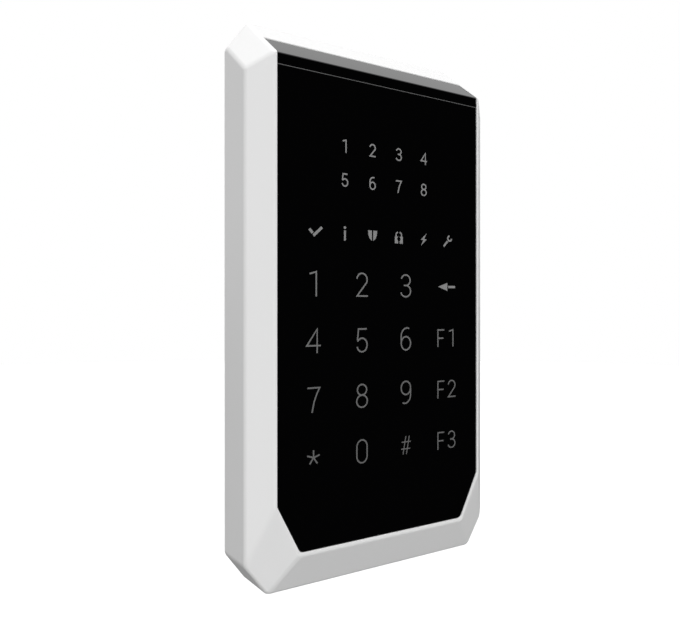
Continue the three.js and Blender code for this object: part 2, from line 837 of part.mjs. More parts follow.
// A hook: it cups the lower half of the housing's pivot bar, with a lip in front of the bar.
function hookProfile() {
  const cup = PIVOT.radius + CLEAR;
  const shape = new THREE.Shape();
  const from = -Math.PI / 6;
  shape.moveTo(0, PLATE.top - 2);
  shape.lineTo(0, PIVOT.z + cup * Math.sin(from));
  shape.absarc(PIVOT.y, PIVOT.z, cup, from, -Math.PI, true);
  shape.lineTo(PIVOT.y - cup - 0.8, PIVOT.z);
  shape.lineTo(PIVOT.y - cup - 0.8, PLATE.top - 1);
  shape.lineTo(PLATE.front, PLATE.top - 2);
  return shape;
}

function wallPlateBody() {
  const { halfWidth, bottom, top } = CABLE_WINDOW;
  const cableWindow = outline(rectangle(-halfWidth, halfWidth, bottom, top));
  const holes = [cableWindow];
  const { x: slotX, upper, lower, radius, length } = FIXING_SLOTS;
  for (const x of [-slotX, slotX]) {
    holes.push(slotOutline(x, upper, radius, length), slotOutline(x, lower, radius, length));
  }
  holes.push(new THREE.Shape().absarc(TAMPER.x, TAMPER.z, 3.9, 0, 2 * Math.PI, false));
  let body = pierced(outline(plateOutline()), holes, PLATE.front, 0);

  // A low rim on the sides and the bottom, with a gap at the lug, and a wall round the window.
  const rimFront = -5;
  const rimTop = 58;
  const rim = outline(housingOutline(PLATE.inset + 0.4));
  const inside = outline(housingOutline(PLATE.inset + 1.8));
  const lowRim = pierced(rim, [inside], rimFront, PLATE.front + 0.5);
  const below = solid(block(-WIDTH, WIDTH, -HEIGHT, HEIGHT, -HEIGHT, rimTop));
  body = body.add(lowRim.intersect(below));
  body = cut(body, block(-7, 7, rimFront - 1, PLATE.front - 0.01, -HEIGHT / 2, lug.bottom));
  const frame = outline(rectangle(-halfWidth - 1.4, halfWidth + 1.4, bottom - 1.4, top + 1.4));
  body = body.add(pierced(frame, [cableWindow], PLATE.front - 1, PLATE.front + 0.5));

  for (const side of [-1, 1]) {
    const left = side * HOOK.x - HOOK.width / 2;
    body = body.add(solid(beam(hookProfile(), left, left + HOOK.width)));
  }

  // The lug that the retaining screw goes up into, with a pocket for its nut.
  body = body.add(
    solid(block(-lug.halfWidth, lug.halfWidth, lug.front, PLATE.front + 0.5, lug.bottom, lug.top)),
  );
  return cut(
    body,
    post(0, LOCK_Y, 1.7, lug.bottom - 1, lug.top + 1),
    block(-NUT.radius, NUT.radius, lug.front - 1, LOCK_Y + NUT.radius, NUT.bottom - 0.2, NUT.top + 0.2),
  );
}

function retainingNut() {
  const nut = post(0, LOCK_Y, NUT.radius, NUT.bottom, NUT.top, 6);
  return cut(solid(nut), post(0, LOCK_Y, 1.65, NUT.bottom - 1, NUT.top + 1));
}

// A pan head below and a plain shank up into the lug.
function retainingScrew() {
  const profile = [
    [0, -74.75],
    [2.1, -74.75],
    [2.6, -74.3],
    [2.6, -73.2],
    [1.35, -73.2],
    [1.35, -65.6],
    [0.9, -65],
    [0, -65],
  ].map(([r, z]) => new THREE.Vector2(r, z));
  const screw = new THREE.LatheGeometry(profile, 24).rotateX(Math.PI / 2);
  screw.translate(0, LOCK_Y, 0);
  const long = 1.3;
  const half = 0.3;
  return cut(
    solid(screw),
    block(-long, long, LOCK_Y - half, LOCK_Y + half, -76, -74),
    block(-half, half, LOCK_Y - long, LOCK_Y + long, -76, -74),
  );
}

add(wallPlate, "wall_plate", wallPlateBody(), whitePlastic);
add(wallPlate, "retaining_nut", retainingNut(), brass);
add(wallPlate, "retaining_screw", retainingScrew(), steel);

export default keypad;
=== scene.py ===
"""The looks of a wall-mounted alarm keypad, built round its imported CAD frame.

Sizes are in millimetres and turned into metres by MM. The front faces -Y, +Z is up and the wall
is the plane y = 0.
"""

import json
import math
import random

import bmesh
import bpy
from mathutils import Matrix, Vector, geometry

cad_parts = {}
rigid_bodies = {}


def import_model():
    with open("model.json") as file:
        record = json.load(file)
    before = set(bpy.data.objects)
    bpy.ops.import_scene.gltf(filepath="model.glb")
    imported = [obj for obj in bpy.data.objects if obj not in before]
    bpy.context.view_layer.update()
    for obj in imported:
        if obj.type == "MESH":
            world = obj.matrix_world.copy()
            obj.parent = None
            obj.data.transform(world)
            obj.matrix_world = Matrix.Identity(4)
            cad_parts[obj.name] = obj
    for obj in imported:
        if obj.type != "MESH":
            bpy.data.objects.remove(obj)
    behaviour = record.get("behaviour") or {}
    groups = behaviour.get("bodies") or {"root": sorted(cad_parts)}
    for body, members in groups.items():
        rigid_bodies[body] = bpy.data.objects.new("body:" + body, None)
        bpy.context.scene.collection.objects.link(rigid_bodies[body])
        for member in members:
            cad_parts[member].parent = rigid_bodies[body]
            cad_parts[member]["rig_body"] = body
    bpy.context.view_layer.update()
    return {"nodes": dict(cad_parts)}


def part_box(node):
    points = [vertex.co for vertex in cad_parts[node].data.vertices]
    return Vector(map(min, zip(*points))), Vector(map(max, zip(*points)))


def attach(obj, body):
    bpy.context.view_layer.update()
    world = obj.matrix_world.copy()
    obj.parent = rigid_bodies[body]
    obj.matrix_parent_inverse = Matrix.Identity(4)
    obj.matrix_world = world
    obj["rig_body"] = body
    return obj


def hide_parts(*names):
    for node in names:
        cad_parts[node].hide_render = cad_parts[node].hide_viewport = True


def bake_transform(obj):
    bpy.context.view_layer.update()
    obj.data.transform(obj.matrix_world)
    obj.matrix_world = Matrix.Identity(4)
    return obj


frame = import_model()

MM = 0.001
CLEAN_DISTANCE = 1e-6
FLAT_ANGLE = math.radians(0.5)
SHARP_ANGLE = math.radians(28)
BEVEL_ANGLE = math.radians(32)

# Legends on the glass: centres of the rows and columns, and heights.
KEY_COLUMNS = [-0.7 + 15 * (i - 1.5) for i in range(4)]
KEY_ROWS = [4.6 - 15 * i for i in range(4)]
ZONE_COLUMNS = [-0.2 + 9 * (i - 1.5) for i in range(4)]
ZONE_ROWS = [41.3, 32.3]
ICON_COLUMNS = [-0.2 + 9 * (i - 2.5) for i in range(6)]
ICON_ROW = 18.05
KEY_HEIGHT = 6.7
FUNCTION_HEIGHT = 5.2
ZONE_HEIGHT = 3.5
KEY_STROKE = 0.42
FUNCTION_STROKE = 0.39
ZONE_STROKE = 0.38
INK_PROUD = 0.006
INK_DEPTH = 0.05

# The housing's rounding, and the share of it that each kind of edge gets.
ROUNDING = 0.85
FULL_SHARE = 1.0
RIM_SHARE = 0.4
BACK_SHARE = 0.3
HOOK_EDGE_SHARE = 0.15

# The rounding at the mouth of the panel's seat, the rise of the slanted top over its run, and
# the height at which the cap folds.
SEAT_ROUNDING = 0.4
TOP_SLOPE = 0.783
CAP_FOLD = 62.2

# The wall plate: how far its front face is from the wall, its slots and the tamper's hole.
PLATE_FACE = -2.5
SLOT_COLUMNS = (-25, 25)
SLOT_ROWS = (48, -54)
SLOT_HALF_RUN = 2.55
TAMPER_HOLE = (-24, -24)
RIB_EDGE = 31.5
RIB_WIDTH = 0.9
PIN_MARKS = ((-10, 55), (10, 55), (-20, -10), (20, -20), (24, 25), (-26, 25), (0, -52), (14, -40))


# ---------------------------------------------------------------- where the CAD says things are


def corners(node):
    """Lowest and highest corner of a CAD node, in millimetres."""
    low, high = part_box(node)
    return low / MM, high / MM


def body_of(node):
    return frame["nodes"][node]["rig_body"]


GLASS_FRONT = corners("front_panel")[0].y
BOARD_BACK = corners("main_board")[1].y
INTO_BOARD = BOARD_BACK - 0.02


# ---------------------------------------------------------------- materials


def node(material, kind, **settings):
    """Adds a shader node, with its plain settings or its inputs by name."""
    made = material.node_tree.nodes.new(kind)
    for key, value in settings.items():
        if key in made.inputs:
            made.inputs[key].default_value = value
        else:
            setattr(made, key, value)
    return made


def link(material, source, target):
    material.node_tree.links.new(source, target)


def noise(material, place, scale, detail=3.0, distortion=0.0):
    made = node(material, "ShaderNodeTexNoise", Scale=scale, Detail=detail, Distortion=distortion)
    link(material, place, made.inputs["Vector"])
    return made.outputs["Fac"]


def spread(material, value, low, high):
    made = node(material, "ShaderNodeMapRange", **{"From Min": 0.3, "From Max": 0.7})
    made.inputs["To Min"].default_value = low
    made.inputs["To Max"].default_value = high
    link(material, value, made.inputs["Value"])
    return made.outputs["Result"]


def rubbed_edges(material, place, wear):
    """How rubbed a point is: up to wear at the edges, in patches, and nothing on the flats."""
    rounded = node(material, "ShaderNodeBevel", samples=4, Radius=0.25 * MM).outputs["Normal"]
    plain = node(material, "ShaderNodeNewGeometry").outputs["Normal"]
    alike = node(material, "ShaderNodeVectorMath", operation="DOT_PRODUCT")
    link(material, rounded, alike.inputs[0])
    link(material, plain, alike.inputs[1])
    edge = node(material, "ShaderNodeMapRange", **{"From Min": 0.99, "From Max": 0.85})
    link(material, alike.outputs["Value"], edge.inputs["Value"])
    patches = spread(material, noise(material, place, 400), 0.2 * wear, wear)
    amount = node(material, "ShaderNodeMath", operation="MULTIPLY")
    link(material, edge.outputs["Result"], amount.inputs[0])
    link(material, patches, amount.inputs[1])
    return amount.outputs["Value"]


def surface(name, color, roughness, tint=0.03, rough=0.06, cloud=60, grain=2500, bump=0.1,
            depth=0.01, stretch=None, wear=0.0, **shader):
    """A Principled material whose colour, roughness and relief all vary over the piece.

    cloud and grain are noise scales per metre, depth is the relief in millimetres, and stretch
    draws the grain out along an axis, as rolling and turning do on metal.
    """
    material = bpy.data.materials.new(name)
    material.use_nodes = True
    material.diffuse_color = (*color, 1)
    bsdf = material.node_tree.nodes["Principled BSDF"]
    for key, value in shader.items():
        bsdf.inputs[key.replace("_", " ")].default_value = value
    place = node(material, "ShaderNodeTexCoord").outputs["Object"]
    fine_place = place
    if stretch:
        mapping = node(material, "ShaderNodeMapping", Scale=stretch)
        link(material, place, mapping.inputs["Vector"])
        fine_place = mapping.outputs["Vector"]

    mix = node(material, "ShaderNodeMix", data_type="RGBA")
    light = [min(1.0, c * (1 + tint)) for c in color]
    mix.inputs[6].default_value = (*[c * (1 - tint) for c in color], 1)
    mix.inputs[7].default_value = (*light, 1)
    link(material, noise(material, place, cloud), mix.inputs["Factor"])
    shown = mix.outputs[2]
    if wear:
        rub = node(material, "ShaderNodeMix", data_type="RGBA")
        rub.inputs[7].default_value = (*[min(1.0, c * 1.25 + 0.02) for c in color], 1)
        link(material, rubbed_edges(material, place, wear), rub.inputs["Factor"])
        link(material, shown, rub.inputs[6])
        shown = rub.outputs[2]
    link(material, shown, bsdf.inputs["Base Color"])

    fine = noise(material, fine_place, grain)
    varied = spread(material, fine, roughness - rough, roughness + rough)
    link(material, varied, bsdf.inputs["Roughness"])
    relief = node(material, "ShaderNodeBump", Strength=bump, Distance=depth * MM)
    link(material, fine, relief.inputs["Height"])
    link(material, relief.outputs["Normal"], bsdf.inputs["Normal"])
    return material


def ink(name, grey):
    return surface(name, (grey, grey, grey), 0.25, tint=0.03, rough=0.03, cloud=300, grain=1500,
                   bump=0.03)


WHITE_PLASTIC = surface("white_plastic", (0.845, 0.845, 0.845), 0.46, tint=0.01, rough=0.05,
                        cloud=35, grain=3200, bump=0.12, depth=0.012, wear=0.3, IOR=1.46,
                        Specular_IOR_Level=0.3)
PLATE_PLASTIC = surface("plate_plastic", (0.81, 0.81, 0.805), 0.5, tint=0.02, rough=0.07,
                        cloud=45, grain=2200, bump=0.2, depth=0.02, wear=0.3, IOR=1.46,
                        Specular_IOR_Level=0.35)
GLOSS_BLACK = surface("gloss_black", (0.0012, 0.0012, 0.0013), 0.05, tint=0.1, rough=0.022,
                      cloud=40, grain=55, bump=0.02, depth=0.01, IOR=1.49)
# The status signs are printed lighter than the keys. The key ink carries painted shade: one ink,
# painted darker row by row downwards.
SIGN_INK = ink("sign_ink", 0.27)
KEY_GREYS_SHADED_DOWNWARDS = (0.2, 0.175, 0.152, 0.14)
KEY_INKS_SHADED_DOWNWARDS = [ink("key_ink_%d" % (row + 1), grey) for row, grey in enumerate(KEY_GREYS_SHADED_DOWNWARDS)]
# A grey strip for the seam between the panel and its cap: a painted highlight, in place of the light
# that the seam's edges catch.
SEAM_PAINTED_HIGHLIGHT = surface("seam_painted_highlight", (0.15, 0.15, 0.15), 0.5, tint=0.05, grain=3000)
FOAM_TAPE = surface("foam_tape", (0.035, 0.035, 0.037), 0.9, tint=0.2, cloud=900, grain=3500,
                    bump=0.6, depth=0.05)
MILKY_FILM = surface("milky_film", (0.75, 0.76, 0.77), 0.5, tint=0.02, grain=4000)
BLACK_PLASTIC = surface("black_plastic", (0.022, 0.022, 0.024), 0.5, tint=0.12, rough=0.1,
                        cloud=300, grain=4500, bump=0.35, depth=0.02, wear=0.3)
CLEAR_ACRYLIC = surface("clear_acrylic", (0.9, 0.93, 0.94), 0.08, tint=0.01, rough=0.03,
                        grain=120, bump=0.02, IOR=1.49, Transmission_Weight=0.9)
SOLDER_MASK = surface("solder_mask", (0.012, 0.105, 0.05), 0.3, tint=0.18, rough=0.07, cloud=220,
                      grain=1400, bump=0.25, depth=0.015, stretch=(1, 1, 3), IOR=1.5)
COVERED_COPPER = surface("covered_copper", (0.035, 0.2, 0.085), 0.28, tint=0.12, rough=0.06,
                         cloud=400, grain=1800, bump=0.15)
BOARD_PRINT = surface("board_print", (0.78, 0.79, 0.76), 0.6, tint=0.05, cloud=900, grain=5000,
                      bump=0.3)
TINNED = surface("tinned", (0.72, 0.72, 0.7), 0.3, tint=0.08, rough=0.12, cloud=900, grain=2600,
                 bump=0.3, depth=0.02, Metallic=1.0)
CHIP_EPOXY = surface("chip_epoxy", (0.02, 0.021, 0.023), 0.62, tint=0.15, rough=0.08, cloud=500,
                     grain=7000, bump=0.4, depth=0.012)
CERAMIC = surface("ceramic", (0.36, 0.25, 0.15), 0.45, tint=0.1, cloud=1500, grain=6000)
ALUMINIUM = surface("drawn_aluminium", (0.74, 0.75, 0.76), 0.3, tint=0.04, rough=0.08, cloud=300,
                    grain=2500, bump=0.2, stretch=(1, 0.08, 1), Metallic=1.0)
GREEN_POLYAMIDE = surface("green_polyamide", (0.03, 0.24, 0.09), 0.42, tint=0.08, rough=0.07,
                          cloud=200, grain=3500, bump=0.25, depth=0.015, wear=0.3)
ZINC_STEEL = surface("zinc_steel", (0.6, 0.61, 0.62), 0.32, tint=0.1, rough=0.1, cloud=500,
                     grain=3000, bump=0.2, stretch=(1, 0.1, 1), wear=0.3, Metallic=1.0)
BARE_BRASS = surface("bare_brass", (0.68, 0.49, 0.21), 0.33, tint=0.1, rough=0.1, cloud=400,
                     grain=2800, bump=0.2, wear=0.3, Metallic=1.0)
GOLD_PINS = surface("gold_pins", (0.85, 0.62, 0.25), 0.25, tint=0.05, grain=3000, Metallic=1.0)
LAMP_FRAME = surface("lamp_frame", (0.84, 0.83, 0.79), 0.4, tint=0.03, grain=4000)
LAMP_DOME = surface("lamp_dome", (0.9, 0.8, 0.42), 0.12, tint=0.03, rough=0.04, grain=800,
                    IOR=1.5, Transmission_Weight=0.35)


# ---------------------------------------------------------------- mesh helpers


def cleaned(cad_node):
    """A copy of a CAD node's mesh with shared corners and whole flat faces."""
    mesh = bmesh.new()
    mesh.from_mesh(frame["nodes"][cad_node].data)
    bmesh.ops.remove_doubles(mesh, verts=mesh.verts, dist=CLEAN_DISTANCE)
    bmesh.ops.dissolve_limit(mesh, angle_limit=FLAT_ANGLE, verts=mesh.verts, edges=mesh.edges)
    return mesh


def as_object(name, mesh):
    data = bpy.data.meshes.new(name)
    mesh.to_mesh(data)
    mesh.free()
    made = bpy.data.objects.new(name, data)
    bpy.context.scene.collection.objects.link(made)
    return made


def baked(source):
    """The object's mesh with its modifiers applied, as a bmesh. The object is removed."""
    evaluated = source.evaluated_get(bpy.context.evaluated_depsgraph_get())
    mesh = bmesh.new()
    mesh.from_mesh(evaluated.to_mesh())
    evaluated.to_mesh_clear()
    bpy.data.objects.remove(source)
    return mesh


def shade(piece):
    """Smooth over gentle angles and sharp over the others, with the flats kept flat."""
    mesh = bmesh.new()
    mesh.from_mesh(piece.data)
    for face in mesh.faces:
        face.smooth = True
    for edge in mesh.edges:
        edge.smooth = edge.calc_face_angle(math.pi) < SHARP_ANGLE
    mesh.to_mesh(piece.data)
    mesh.free()
    normals = piece.modifiers.new("flat_normals", "WEIGHTED_NORMAL")
    normals.keep_sharp = True


def bevelled(piece, width, segments=2):
    modifier = piece.modifiers.new("edges", "BEVEL")
    modifier.width = width * MM
    modifier.segments = segments
    modifier.limit_method = "ANGLE"
    modifier.angle_limit = BEVEL_ANGLE
    modifier.miter_outer = "MITER_ARC"


def round_edges(mesh, offset, segments, wanted):
    """Bevels the sharp edges whose middle, in millimetres, is wanted."""
    chosen = []
    for edge in mesh.edges:
        middle = (edge.verts[0].co + edge.verts[1].co) / 2 / MM
        if edge.calc_face_angle(0) > SHARP_ANGLE and wanted(middle):
            chosen.append(edge)
    bmesh.ops.bevel(mesh, geom=chosen, offset=offset * MM, segments=segments, profile=0.5,
                    affect="EDGES")


def add_piece(name, mesh, materials, body, replaced=(), bevel=0.0):
    piece = as_object(name, mesh)
    for material in materials:
        piece.data.materials.append(material)
    if bevel:
        bevelled(piece, bevel)
    shade(piece)
    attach(piece, body)
    if replaced:
        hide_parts(*replaced)
    return piece


def dress(cad_node, material, bevel=0.1, segments=2):
    """Keeps a CAD node, with a better material and softened edges."""
    kept = frame["nodes"][cad_node]
    kept.data.materials.clear()
    kept.data.materials.append(material)
    weld = kept.modifiers.new("weld", "WELD")
    weld.merge_threshold = CLEAN_DISTANCE
    flats = kept.modifiers.new("flats", "DECIMATE")
    flats.decimate_type = "DISSOLVE"
    flats.angle_limit = FLAT_ANGLE
    if bevel:
        bevelled(kept, bevel, segments)
    kept.modifiers.new("flat_normals", "WEIGHTED_NORMAL")


def refine(cad_node, materials, pick, bevel=0.06):
    """Stands a piece with several materials in for a CAD node. pick(centre) chooses by place."""
    mesh = cleaned(cad_node)
    for face in mesh.faces:
        face.material_index = pick(face.calc_center_median() / MM)
    name = cad_node + "_fine"
    return add_piece(name, mesh, materials, body_of(cad_node), [cad_node], bevel)


# ---------------------------------------------------------------- flat shapes in x and z


def arc(x, z, rx, rz, start, end, steps=18):
    """Points on an ellipse from one angle to another, in degrees from the right, going up."""
    turns = [math.radians(start + (end - start) * i / steps) for i in range(steps + 1)]
    return [(x + rx * math.cos(t), z + rz * math.sin(t)) for t in turns]


def stroke(path, width, closed=False):
    """Quads along a path, mitred at its corners."""
    points = [Vector(p) for p in path]
    if closed and (points[0] - points[-1]).length < 1e-6:
        points.pop()
    count = len(points)
    left, right = [], []
    for i, point in enumerate(points):
        before = points[i - 1] if closed or i else None
        after = points[(i + 1) % count] if closed or i < count - 1 else None
        ways = []
        if before is not None:
            ways.append((point - before).normalized())
        if after is not None:
            ways.append((after - point).normalized())
        along = sum(ways, Vector((0, 0))).normalized()
        side = Vector((-along.y, along.x))
        reach = width / 2 / max(0.45, abs(along.dot(ways[0])))
        left.append(point + side * reach)
        right.append(point - side * reach)
    last = count if closed else count - 1
    return [[right[i], right[(i + 1) % count], left[(i + 1) % count], left[i]] for i in range(last)]


def disc(x, z, radius, steps=20):
    return [Vector(p) for p in arc(x, z, radius, radius, 0, 360 * (steps - 1) / steps, steps - 1)]


def rectangle(x0, x1, z0, z1):
    return [Vector(p) for p in ((x0, z0), (x1, z0), (x1, z1), (x0, z1))]


def frame_of(x0, x1, z0, z1, width):
    return stroke([(x0, z0), (x1, z0), (x1, z1), (x0, z1)], width, closed=True)


def anticlockwise(shape):
    doubled = sum(a[0] * b[1] - b[0] * a[1] for a, b in zip(shape, shape[1:] + shape[:1]))
    return shape if doubled > 0 else shape[::-1]


def united(shapes, front, back):
    """One closed solid that the flat shapes cover between them, from depth front to back."""
    points, faces = [], []
    for shape in shapes:
        faces.append(list(range(len(points), len(points) + len(shape))))
        points.extend(Vector(p) for p in anticlockwise(shape))
    found, _, triangles, _, _, sources = geometry.delaunay_2d_cdt(points, [], faces, 0, 1e-5, True)
    mesh = bmesh.new()
    front_ring = [mesh.verts.new((p.x * MM, front * MM, p.y * MM)) for p in found]
    back_ring = [mesh.verts.new((p.x * MM, back * MM, p.y * MM)) for p in found]
    seen = {}
    for triangle, covered_by in zip(triangles, sources):
        if not covered_by:
            continue
        mesh.faces.new([front_ring[i] for i in triangle])
        mesh.faces.new([back_ring[i] for i in reversed(triangle)])
        for a, b in zip(triangle, triangle[1:] + triangle[:1]):
            seen[(a, b)] = True
    for a, b in seen:
        if (b, a) not in seen:
            mesh.faces.new([front_ring[b], front_ring[a], back_ring[a], back_ring[b]])
    loose = [v for v in mesh.verts if not v.link_faces]
    bmesh.ops.delete(mesh, geom=loose, context="VERTS")
    bmesh.ops.dissolve_limit(mesh, angle_limit=FLAT_ANGLE, verts=mesh.verts, edges=mesh.edges)
    return mesh


# ---------------------------------------------------------------- the housing's rounded shell


def outer_form():
    """The housing's plain outer form, a hair inside its facets, with a bevel weight per edge."""
    mesh = bmesh.new()
    for vertex in frame["nodes"]["front_housing"].data.vertices:
        mesh.verts.new(vertex.co)
    bmesh.ops.remove_doubles(mesh, verts=mesh.verts, dist=CLEAN_DISTANCE)
    hull = bmesh.ops.convex_hull(mesh, input=mesh.verts)
    left_over = hull["geom_interior"] + hull["geom_unused"]
    spare = {v for v in left_over if isinstance(v, bmesh.types.BMVert)}
    bmesh.ops.delete(mesh, geom=list(spare), context="VERTS")
    bmesh.ops.dissolve_limit(mesh, angle_limit=FLAT_ANGLE, verts=mesh.verts, edges=mesh.edges)

    low, high = corners("front_housing")
    weights = mesh.edges.layers.float.new("bevel_weight_edge")
    for edge in mesh.edges:
        depths = [v.co.y / MM for v in edge.verts]
        heights = [v.co.z / MM for v in edge.verts]
        on_rim = max(depths) < low.y + 0.05
        near_back = min(depths) > high.y - 2.5
        on_back = min(depths) > high.y - 0.05
        if on_rim:
            edge[weights] = RIM_SHARE
        elif near_back and min(heights) > high.z - 2:
            edge[weights] = HOOK_EDGE_SHARE
        elif on_back or (near_back and max(heights) > high.z - 4):
            edge[weights] = BACK_SHARE
        else:
            edge[weights] = FULL_SHARE
    centre = (low + high) / 2 * MM
    for vertex in mesh.verts:
        vertex.co = centre + (vertex.co - centre) * 0.9997
    return mesh


def round_seat_edges(mesh):
    """Rounds the edges where the panel's seat breaks through the housing's face."""
    half = corners("front_panel")[1].x + 1
    chosen = []
    for edge in mesh.edges:
        if edge.calc_face_angle(0) < math.radians(50):
            continue
        if not all(abs(v.co.x) < half * MM for v in edge.verts):
            continue
        depths = [v.co.y / MM for v in edge.verts]
        heights = [v.co.z / MM for v in edge.verts]
        on_rim = max(depths) < GLASS_FRONT - 0.15
        on_slope = max(depths) < -10 and min(heights) > 61
        if (on_rim or on_slope) and all(is_outside(v) for v in edge.verts):
            chosen.append(edge)
    bmesh.ops.bevel(mesh, geom=chosen, offset=SEAT_ROUNDING * MM, segments=5, profile=0.5,
                    affect="EDGES", clamp_overlap=True)


def is_outside(vertex):
    """Whether a corner lies on the housing's front or slanted top."""
    x, y, z = vertex.co / MM
    rim_height = corners("front_panel")[1].z + 3
    top = rim_height + TOP_SLOPE * (y - GLASS_FRONT)
    return y < GLASS_FRONT - 0.15 or z > top - 1.2


def add_housing():
    shell = as_object("shell_form", outer_form())
    rounding = shell.modifiers.new("rounding", "BEVEL")
    rounding.limit_method = "WEIGHT"
    rounding.width = ROUNDING * MM
    rounding.segments = 6
    rounding.use_clamp_overlap = False
    cad = as_object("shell_inside", cleaned("front_housing"))
    cutting = shell.modifiers.new("inside", "BOOLEAN")
    cutting.operation = "INTERSECT"
    cutting.solver = "EXACT"
    cutting.object = cad
    mesh = baked(shell)
    bpy.data.objects.remove(cad)
    bmesh.ops.remove_doubles(mesh, verts=mesh.verts, dist=CLEAN_DISTANCE)
    round_seat_edges(mesh)
    add_piece("housing_shell", mesh, [WHITE_PLASTIC], "front_unit",
              ["front_housing"])


# ---------------------------------------------------------------- legends


def digit(name):
    """Centre lines of a figure one unit high: a list of (path, closed)."""
    figures = {
        "0": [(arc(0.31, 0.69, 0.25, 0.27, 0, 180) + arc(0.31, 0.31, 0.25, 0.27, 180, 360), True)],
        "1": [([(0.11, 0.87), (0.41, 0.955), (0.41, 0)], False)],
        "2": [(arc(0.31, 0.7, 0.25, 0.26, 172, -28) + [(0.07, 0.045), (0.6, 0.045)], False)],
        "3": [
            (arc(0.3, 0.735, 0.235, 0.225, 165, -90), False),
            (arc(0.3, 0.28, 0.26, 0.24, 90, -165), False),
            ([(0.2, 0.515), (0.32, 0.515)], False),
        ],
        "4": [([(0.48, 0), (0.48, 0.93), (0.02, 0.29), (0.64, 0.29)], False)],
        "5": [
            ([(0.54, 0.955), (0.14, 0.955), (0.09, 0.5)], False),
            (arc(0.31, 0.31, 0.25, 0.275, 150, -165), False),
        ],
        "6": [
            (arc(0.37, 0.62, 0.31, 0.345, 68, 180) + [(0.06, 0.32)], False),
            (arc(0.31, 0.32, 0.25, 0.28, 0, 360), True),
        ],
        "7": [([(0.02, 0.955), (0.56, 0.955), (0.42, 0.68), (0.31, 0.4), (0.22, 0)], False)],
        "8": [
            (arc(0.31, 0.745, 0.225, 0.215, 0, 360), True),
            (arc(0.31, 0.285, 0.26, 0.245, 0, 360), True),
        ],
        "9": [
            ([(0.56, 0.68)] + arc(0.25, 0.38, 0.31, 0.345, 0, -112), False),
            (arc(0.31, 0.68, 0.25, 0.28, 0, 360), True),
        ],
        "F": [
            ([(0.55, 0.955), (0.08, 0.955), (0.08, 0)], False),
            ([(0.08, 0.49), (0.49, 0.49)], False),
        ],
        "hash": [
            ([(0.27, 0.98), (0.12, 0.22)], False),
            ([(0.45, 0.98), (0.3, 0.22)], False),
            ([(0.05, 0.74), (0.53, 0.74)], False),
            ([(0.02, 0.45), (0.5, 0.45)], False),
        ],
    }
    return figures[name]


def written(name, x, z, height, width):
    """The strokes of a figure whose left foot is at x and z."""
    shapes = []
    for path, closed in digit(name):
        placed = [(x + u * height, z + v * height) for u, v in path]
        shapes.extend(stroke(placed, width, closed))
    return shapes


def star(x, z, reach, width):
    shapes = []
    for i in range(5):
        turn = math.radians(90 + 72 * i)
        end = (x + reach * math.cos(turn), z + reach * math.sin(turn))
        shapes.extend(stroke([(x, z), end], width))
    return shapes


def arrow(x, z):
    tip = [(x - 3.6, z), (x, z - 1.2), (x, z + 1.2)]
    return [[Vector(p) for p in tip], rectangle(x + 0.35, x + 3.0, z - 0.35, z + 0.35)]


def mirrored(points):
    return [(-u, v) for u, v in points]


def icon_shapes(name):
    """A status sign about its own centre, in millimetres."""
    half_shield = [(-0.22, 1.4), (-1.5, 1.4), (-1.4, 0.2), (-1.05, -0.7), (-0.22, -1.45)]
    half_body = [(-0.25, 0.3), (-1.4, 0.3), (-1.4, -1.65), (-0.25, -1.65), (-0.25, -1.1),
                 (-0.6, -0.5), (-0.6, -0.2)]
    bolt = [(1.05, 1.85), (-1.1, -0.1), (-0.15, -0.15), (-1.05, -1.85), (1.1, 0.1), (0.15, 0.15)]
    signs = {
        "tick": stroke([(-1.9, 0.6), (-0.9, -0.4)], 0.75) + stroke([(-0.7, -1.1), (1.9, 1.2)], 0.75),
        "info": [rectangle(-0.3, 0.3, -1.85, 0.85), disc(0, 1.6, 0.38, 12)],
        "shield": [half_shield, mirrored(half_shield)],
        "padlock": [half_body, mirrored(half_body)]
        + stroke([(-0.95, 0.2)] + arc(0, 0.85, 0.95, 0.65, 180, 108, 6), 0.42)
        + stroke([(0.95, 0.2)] + arc(0, 0.85, 0.95, 0.65, 0, 72, 6), 0.42),
        "bolt": [bolt],
        "wrench": stroke([(-1.5, -1.6), (0.05, 0.0)], 0.6)
        + stroke([(0.2, 0.15), (0.4, 0.38)], 0.5)
        + stroke(arc(0.85, 0.85, 0.72, 0.72, 95, 355, 14), 0.5),
    }
    return signs[name]


def add_legend(name, shapes, ink_used):
    mesh = united(shapes, GLASS_FRONT - INK_PROUD, GLASS_FRONT + INK_DEPTH)
    add_piece(name, mesh, [ink_used], "front_unit")


